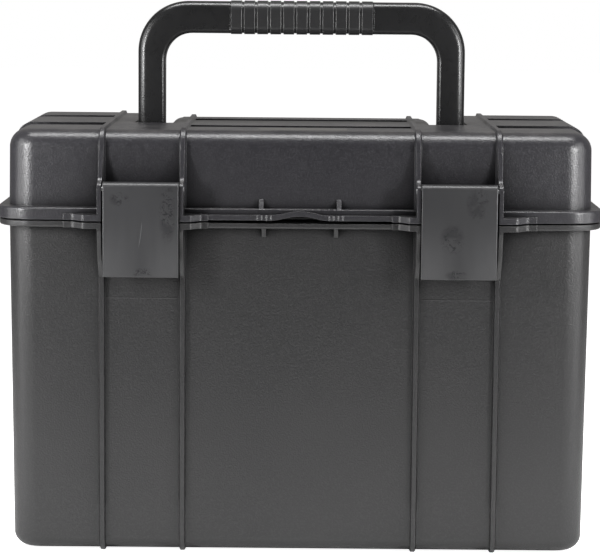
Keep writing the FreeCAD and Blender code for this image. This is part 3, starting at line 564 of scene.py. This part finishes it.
def egg_crate():
    """Convoluted foam sheet: flat back up, rounded peaks facing down to the tray."""
    low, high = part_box("lid_foam")
    half_x, half_y = high.x, high.y
    corner_radius = 13.5 * MM
    pitch = 27.4 * MM
    peak_z, valley_z = low.z + 0.3 * MM, low.z + 10.2 * MM
    rim_z = valley_z + 1.0 * MM
    rim_width = 6 * MM
    roundness = 0.85  # below 1 fattens peaks and valleys
    unevenness = 0.12 * MM
    columns, rows = ((190, 103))

    def round_corner(x, y):
        over_x = abs(x) - (half_x - corner_radius)
        over_y = abs(y) - (half_y - corner_radius)
        if over_x > 0 and over_y > 0:
            pull = max(over_x, over_y) / math.hypot(over_x, over_y)
            x = math.copysign(half_x - corner_radius + over_x * pull, x)
            y = math.copysign(half_y - corner_radius + over_y * pull, y)
        return x, y

    def height(x, y):
        wave = (math.cos(2 * math.pi * x / pitch) + math.cos(2 * math.pi * y / pitch)) / 2
        wave = math.copysign(abs(wave) ** roundness, wave)
        z = (peak_z + valley_z) / 2 - (valley_z - peak_z) / 2 * wave
        inward = min(half_x - abs(x), half_y - abs(y)) / rim_width
        inward = min(1.0, max(0.0, inward))
        inward = inward * inward * (3 - 2 * inward)
        return z * inward + rim_z * (1 - inward)

    bm = bmesh.new()
    under = {}
    for j in range(rows):
        for i in range(columns):
            grid_x = -half_x + 2 * half_x * i / (columns - 1)
            grid_y = -half_y + 2 * half_y * j / (rows - 1)
            x, y = round_corner(grid_x, grid_y)
            z = height(grid_x, grid_y) + wobble(x, y, 0) * unevenness
            under[i, j] = bm.verts.new((x, y, z))
    last_i, last_j = columns - 1, rows - 1
    back = {}  # only the outline of the flat back has points
    for (i, j), vert in under.items():
        if i in (0, last_i) or j in (0, last_j):
            back[i, j] = bm.verts.new((vert.co.x, vert.co.y, high.z))
    for j in range(last_j):
        for i in range(last_i):
            bm.faces.new([under[i, j + 1], under[i + 1, j + 1],
                          under[i + 1, j], under[i, j]])
    outline = ([(i, 0) for i in range(columns)]
               + [(last_i, j) for j in range(1, rows)]
               + [(i, last_j) for i in range(last_i - 1, -1, -1)]
               + [(0, j) for j in range(last_j - 1, 0, -1)])
    for here, after in zip(outline, outline[1:] + outline[:1]):
        bm.faces.new([under[here], under[after], back[after], back[here]])
    bm.faces.new([back[point] for point in outline])
    bmesh.ops.recalc_face_normals(bm, faces=bm.faces)
    for face in bm.faces:
        face.smooth = len(face.verts) == 4
    add_part(to_mesh("egg_crate_foam", bm), GREY_FOAM, "lid", "lid_foam")


egg_crate()


def sweep(name, path, section, closed=True):
    """Mesh swept along a path; section points are (sideways, up)."""
    bm = bmesh.new()
    rings = []
    count = len(path)
    for i, point in enumerate(path):
        before = path[i - 1] if closed or i > 0 else point
        after = path[(i + 1) % count] if closed or i < count - 1 else point
        along = (after - before).normalized()
        side = along.cross(Vector((0, 0, 1))).normalized()
        up = side.cross(along).normalized()
        rings.append([bm.verts.new(point + side * x + up * y) for x, y in section])
    size = len(section)
    for i in range(count if closed else count - 1):
        ring, following = rings[i], rings[(i + 1) % count]
        for k in range(size):
            turn = (k + 1) % size
            bm.faces.new([ring[k], ring[turn], following[turn], following[k]])
    if not closed:
        bm.faces.new(rings[0])
        bm.faces.new(list(reversed(rings[-1])))
    bmesh.ops.recalc_face_normals(bm, faces=bm.faces)
    for face in bm.faces:
        face.smooth = True
    return to_mesh(name, bm)


def rounded_path(half_x, half_y, radius, z, steps=14):
    """Rounded rectangle, with the given steps in each corner."""
    points = []
    x, y = half_x - radius, half_y - radius
    corners = ((x, y), (-x, y), (-x, -y), (x, -y))
    for quarter, (center_x, center_y) in enumerate(corners):
        for i in range(steps + 1):
            angle = math.radians(90 * quarter + 90 * i / steps)
            points.append(Vector((center_x + radius * math.cos(angle),
                                  center_y + radius * math.sin(angle), z)))
    return points


def seal_cord():
    """Oval rubber cord running round the lid."""
    half_width, half_height, sides = 1.15 * MM, 1.0 * MM, 14
    inset = 1.3 * MM
    low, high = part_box("lid_seal")
    angles = [2 * math.pi * k / sides for k in range(sides)]
    section = [(half_width * math.cos(angle), half_height * math.sin(angle))
               for angle in angles]
    path = rounded_path(high.x - inset, high.y - inset, radius=19.0 * MM,
                        z=(low.z + high.z) / 2)
    add_part(sweep("seal_cord", path, section), RUBBER, "lid", "lid_seal")


seal_cord()


def lift_loop(node, name):
    """Soft webbing loop: a flat strap arching over the end of the tray."""
    steps = 40
    half_thick = 0.62 * MM
    edge_thinning = 0.35
    sway = 0.25 * MM
    low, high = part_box(node)
    center_x = (low.x + high.x) / 2
    half_width = (high.x - low.x) / 2 - 0.2 * MM
    half_span = high.y - 0.9 * MM
    foot_z, crown_z = low.z + 0.75 * MM, high.z - 0.8 * MM
    path = []
    for i in range(steps + 1):
        along = -1 + 2 * i / steps
        z = foot_z + (crown_z - foot_z) * (1 - abs(along) ** 2.6) ** 0.8
        path.append(Vector((center_x + sway * math.sin(5 * along), half_span * along, z)))
    upper = []
    for k in range(9):
        across = -1 + k / 4
        thick = half_thick * (1 - edge_thinning * abs(across) ** 4)
        upper.append((across * half_width, thick))
    lower = [(x, -y) for x, y in reversed(upper)]
    mesh = sweep(name, path, upper + lower, closed=False)
    add_part(mesh, WEBBING, "base", node)


for side in ("left", "right"):
    lift_loop(f"tray_lift_loop_{side}", f"lift_strap_{side}")


# ------------------------------------------------------------------------- stage
def build_floor():
    bm = bmesh.new()
    bmesh.ops.create_grid(bm, x_segments=2, y_segments=2, size=6.0)
    floor = new_object("floor", to_mesh("floor", bm))
    floor.location = (0, 2.0, 0)
    floor.data.materials.append(floor_material())


def build_world():
    """White to the camera; lights the case from the back half (+Y) only."""
    world = bpy.data.worlds.new("studio")
    scene.world = world
    world.use_nodes = True
    tree = world.node_tree
    tree.nodes.clear()
    new, link = tree.nodes.new, tree.links.new
    output = new("ShaderNodeOutputWorld")
    seen = new("ShaderNodeBackground")
    lighting = new("ShaderNodeBackground")
    choice = new("ShaderNodeMixShader")
    light_path = new("ShaderNodeLightPath")
    seen.inputs["Color"].default_value = (1, 1, 1, 1)
    seen.inputs["Strength"].default_value = 1.0
    lighting.inputs["Color"].default_value = (1.0, 0.975, 0.95, 1)
    coordinates = new("ShaderNodeTexCoord")
    direction = new("ShaderNodeSeparateXYZ")
    back = smooth_range(tree, start=0.15, end=0.85, low=0.03, high=0.34)
    link(coordinates.outputs["Generated"], direction.inputs[0])
    link(direction.outputs[1], back.inputs[0])
    link(back.outputs[0], lighting.inputs["Strength"])
    link(light_path.outputs["Is Camera Ray"], choice.inputs[0])
    link(lighting.outputs[0], choice.inputs[1])
    link(seen.outputs[0], choice.inputs[2])
    link(choice.outputs[0], output.inputs[0])


def area_light(name, place, target, width, height, power):
    light = bpy.data.lights.new(name, "AREA")
    light.shape = "RECTANGLE"
    light.size = width
    light.size_y = height
    light.energy = power
    obj = new_object(name, light)
    obj.location = place
    aim = Vector(target) - Vector(place)
    obj.rotation_euler = aim.to_track_quat("-Z", "Y").to_euler()
    obj.visible_camera = False


def build_lights():
    # mirrored pairs: name, place and target on the +X side, width, height, powers
    pairs = (
        ("side", (0.80, -0.30, 0.38), (0.12, -0.05, 0.16), 0.26, 0.75, (3.3, 3.2)),
        ("near", (0.43, -0.405, 0.335), (0.1, -0.1, 0.20), 0.09, 0.20, (2.85, 2.65)),
    )
    for name, place, target, width, height, powers in pairs:
        for side, sign, power in zip(("left", "right"), (-1, 1), powers):
            area_light(f"{name}_{side}", (sign * place[0], *place[1:]),
                       (sign * target[0], *target[1:]), width, height, power)
    area_light("top_strip", place=(0, -0.14, 1.2), target=(0, 0, 0.3),
               width=1.0, height=0.14, power=14.0)


def build_camera():
    """Long lens in front of the case, looking slightly down."""
    place = (0.0025, -1.7037, 0.3854)
    yaw, down, roll = 0.08, 7.09, 0.48  # degrees
    lens = bpy.data.cameras.new("camera")
    lens.sensor_width = 36.0
    lens.sensor_fit = "HORIZONTAL"
    lens.lens = 146.6
    lens.clip_end = 30.0
    camera = new_object("camera", lens)
    camera.matrix_world = (Matrix.Translation(place)
                           @ Matrix.Rotation(math.radians(yaw), 4, "Z")
                           @ Matrix.Rotation(math.radians(90 - down), 4, "X")
                           @ Matrix.Rotation(math.radians(roll), 4, "Z"))
    scene.camera = camera


build_floor()
build_world()
build_lights()
scene.view_settings.view_transform = "Standard"
scene.view_settings.look = "None"
build_camera()
